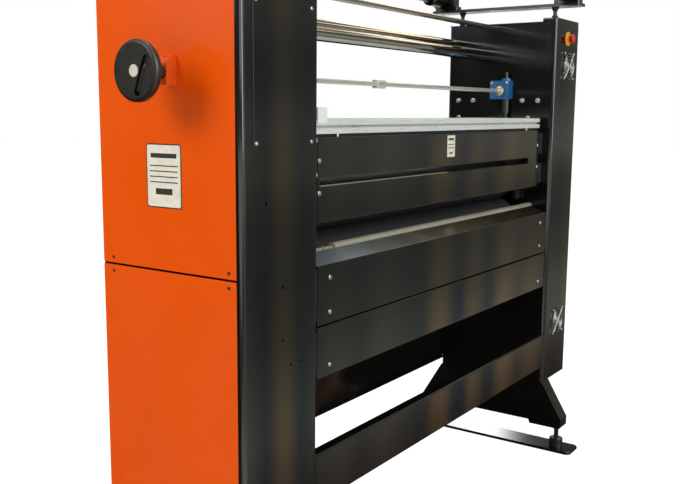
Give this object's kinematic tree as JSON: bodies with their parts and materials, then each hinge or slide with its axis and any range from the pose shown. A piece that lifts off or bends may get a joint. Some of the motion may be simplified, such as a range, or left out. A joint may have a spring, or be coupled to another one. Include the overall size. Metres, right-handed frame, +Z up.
{
  "type": "wide roll laminator",
  "caption": "Free-standing wide roll laminator: two upright housings carry nip rollers, guide rollers, supply shafts and a shelf table; a handwheel sets the nip gap.",
  "frame": {"origin": "middle of the whole machine's footprint, handwheel included, on the floor", "axes": "+X to the right along the rollers, away from the handwheel; +Y to the back; +Z up"},
  "size_m": [2.4014, 0.79, 2.027],
  "materials": {
    "black_frame": "gloss black powder coat",
    "black_gloss": "gloss black powder coat",
    "black_steel": "satin black paint",
    "orange_gloss": "gloss orange powder coat",
    "aluminium": "extruded, natural anodised",
    "chrome": "hard chrome, polished",
    "steel": "machined",
    "bright_shaft": "ground bright bar",
    "dark_steel": "blackened bar, oiled",
    "black_rubber": "ground silicone rubber",
    "belt_rubber": "moulded",
    "blue_paint": "gloss blue enamel",
    "grey_paint": "satin grey enamel",
    "black_casting": "satin black casting paint",
    "orange_plastic": "satin moulded plastic",
    "black_plastic": "fine-textured moulded plastic",
    "grey_plastic": "satin moulded plastic",
    "white_plastic": "satin moulded plastic",
    "yellow_plastic": "gloss moulded plastic",
    "red_plastic": "gloss moulded plastic",
    "screw_steel": "zinc plated"
  },
  "bodies": {
    "machine": {"left_side_frame": "black_frame", "right_side_frame": "black_frame", "frame_posts": "black_frame", "foot_bars": "black_frame", "levelling_feet": "black_steel", "left_front_panel": "black_gloss", "right_front_panel": "black_gloss", "housing_rear_panels": "black_gloss", "left_lower_cover": "orange_gloss", "left_upper_cover": "orange_gloss", "right_side_covers": "orange_gloss", "housing_end_plates": "black_gloss", "access_cover": "black_gloss", "nip_front_cover": "black_gloss", "infeed_panel": "black_gloss", "lower_front_panel": "black_gloss", "lower_front_beam": "black_gloss", "rear_cover_panel": "black_gloss", "inner_brackets": "black_steel", "table_profiles": "aluminium", "edge_guide": "white_plastic", "guide_rod": "chrome", "flange_bearings": "steel", "carriage_guides": "black_steel", "jack_housings": "blue_paint", "position_indicator": "orange_plastic", "drive_gearmotor": "grey_paint", "drive_belt": "belt_rubber", "estop_base": "yellow_plastic", "fan_housings": "black_plastic", "fan_guards": "chrome", "electrical_gear": "grey_plastic", "cable_gland": "black_plastic", "top_bars": "black_steel", "bar_posts": "black_steel", "pillow_blocks": "black_casting", "panel_screws": "screw_steel", "frame_bolts": "screw_steel"},
    "cross_drive": {"cross_shaft": "bright_shaft", "shaft_coupling": "bright_shaft", "handwheel": "black_plastic", "wheel_cap": "grey_plastic"},
    "folding_handle": {"fold_handle": "black_plastic"},
    "nip_lift": {"lift_carriages": "black_steel", "jack_spindles": "dark_steel", "upper_roller_bearings": "steel"},
    "upper_nip_roller": {"upper_roller_core": "steel", "upper_roller_sleeve": "black_rubber"},
    "lower_nip_roller": {"lower_roller_core": "steel", "lower_roller_sleeve": "black_rubber", "roller_pulley": "steel"},
    "motor_output": {"motor_pulley": "steel"},
    "main_roller": {"main_chrome_roller": "chrome"},
    "rear_roller": {"rear_chrome_roller": "chrome"},
    "infeed_guide_roller": {"infeed_roller": "chrome"},
    "front_supply_shaft": {"unwind_shaft": "dark_steel"},
    "rear_supply_shaft": {"rewind_shaft": "dark_steel"},
    "upper_fan": {"upper_impeller": "black_plastic"},
    "lower_fan": {"lower_impeller": "black_plastic"},
    "emergency_stop": {"estop_button": "red_plastic"}
  },
  "joints": [
    {"name": "handwheel_turn", "type": "hinge", "parent": "machine", "child": "cross_drive", "pos_m": [0, -0.025, 1.572], "axis": [1, 0, 0], "range_deg": [0, 9000]},
    {"name": "handle_fold", "type": "hinge", "parent": "cross_drive", "child": "folding_handle", "pos_m": [-1.189, -0.06469, 1.597], "axis": [0, 0.9278, 0.373], "range_deg": [0, 90]},
    {"name": "nip_lift_slide", "type": "slide", "parent": "machine", "child": "nip_lift", "axis": [0, 0, 1], "range_m": [0, 0.05]},
    {"name": "lower_nip_spin", "type": "hinge", "parent": "machine", "child": "lower_nip_roller", "pos_m": [0, -0.03, 1.035], "axis": [1, 0, 0], "continuous": true},
    {"name": "upper_nip_spin", "type": "hinge", "parent": "nip_lift", "child": "upper_nip_roller", "pos_m": [0, -0.03, 1.1954], "axis": [1, 0, 0], "continuous": true},
    {"name": "motor_output_spin", "type": "hinge", "parent": "machine", "child": "motor_output", "pos_m": [0, -0.03, 0.7], "axis": [1, 0, 0], "continuous": true},
    {"name": "main_roller_spin", "type": "hinge", "parent": "machine", "child": "main_roller", "pos_m": [0, 0.06995, 1.726], "axis": [1, 0, 0], "continuous": true},
    {"name": "rear_roller_spin", "type": "hinge", "parent": "machine", "child": "rear_roller", "pos_m": [0, 0.15495, 1.764], "axis": [1, 0, 0], "continuous": true},
    {"name": "infeed_roller_spin", "type": "hinge", "parent": "machine", "child": "infeed_guide_roller", "pos_m": [0, -0.158, 1.0805], "axis": [1, 0, 0], "continuous": true},
    {"name": "front_supply_spin", "type": "hinge", "parent": "machine", "child": "front_supply_shaft", "pos_m": [0, -0.28, 1.977], "axis": [1, 0, 0], "continuous": true},
    {"name": "rear_supply_spin", "type": "hinge", "parent": "machine", "child": "rear_supply_shaft", "pos_m": [0, 0.28, 1.977], "axis": [1, 0, 0], "continuous": true},
    {"name": "upper_fan_spin", "type": "hinge", "parent": "machine", "child": "upper_fan", "pos_m": [1.07425, -0.25, 1.68], "axis": [0, 1, 0], "continuous": true},
    {"name": "lower_fan_spin", "type": "hinge", "parent": "machine", "child": "lower_fan", "pos_m": [1.07425, -0.25, 0.556], "axis": [0, 1, 0], "continuous": true},
    {"name": "estop_press", "type": "slide", "parent": "machine", "child": "emergency_stop", "axis": [0, 1, 0], "range_m": [0, 0.005]}
  ],
  "couplings": [
    {"joint": "handwheel_turn", "follows": "nip_lift_slide", "rad_per_m": 3141.6},
    {"joint": "upper_nip_spin", "follows": "lower_nip_spin", "ratio": -1},
    {"joint": "motor_output_spin", "follows": "lower_nip_spin", "ratio": 1.5}
  ]
}
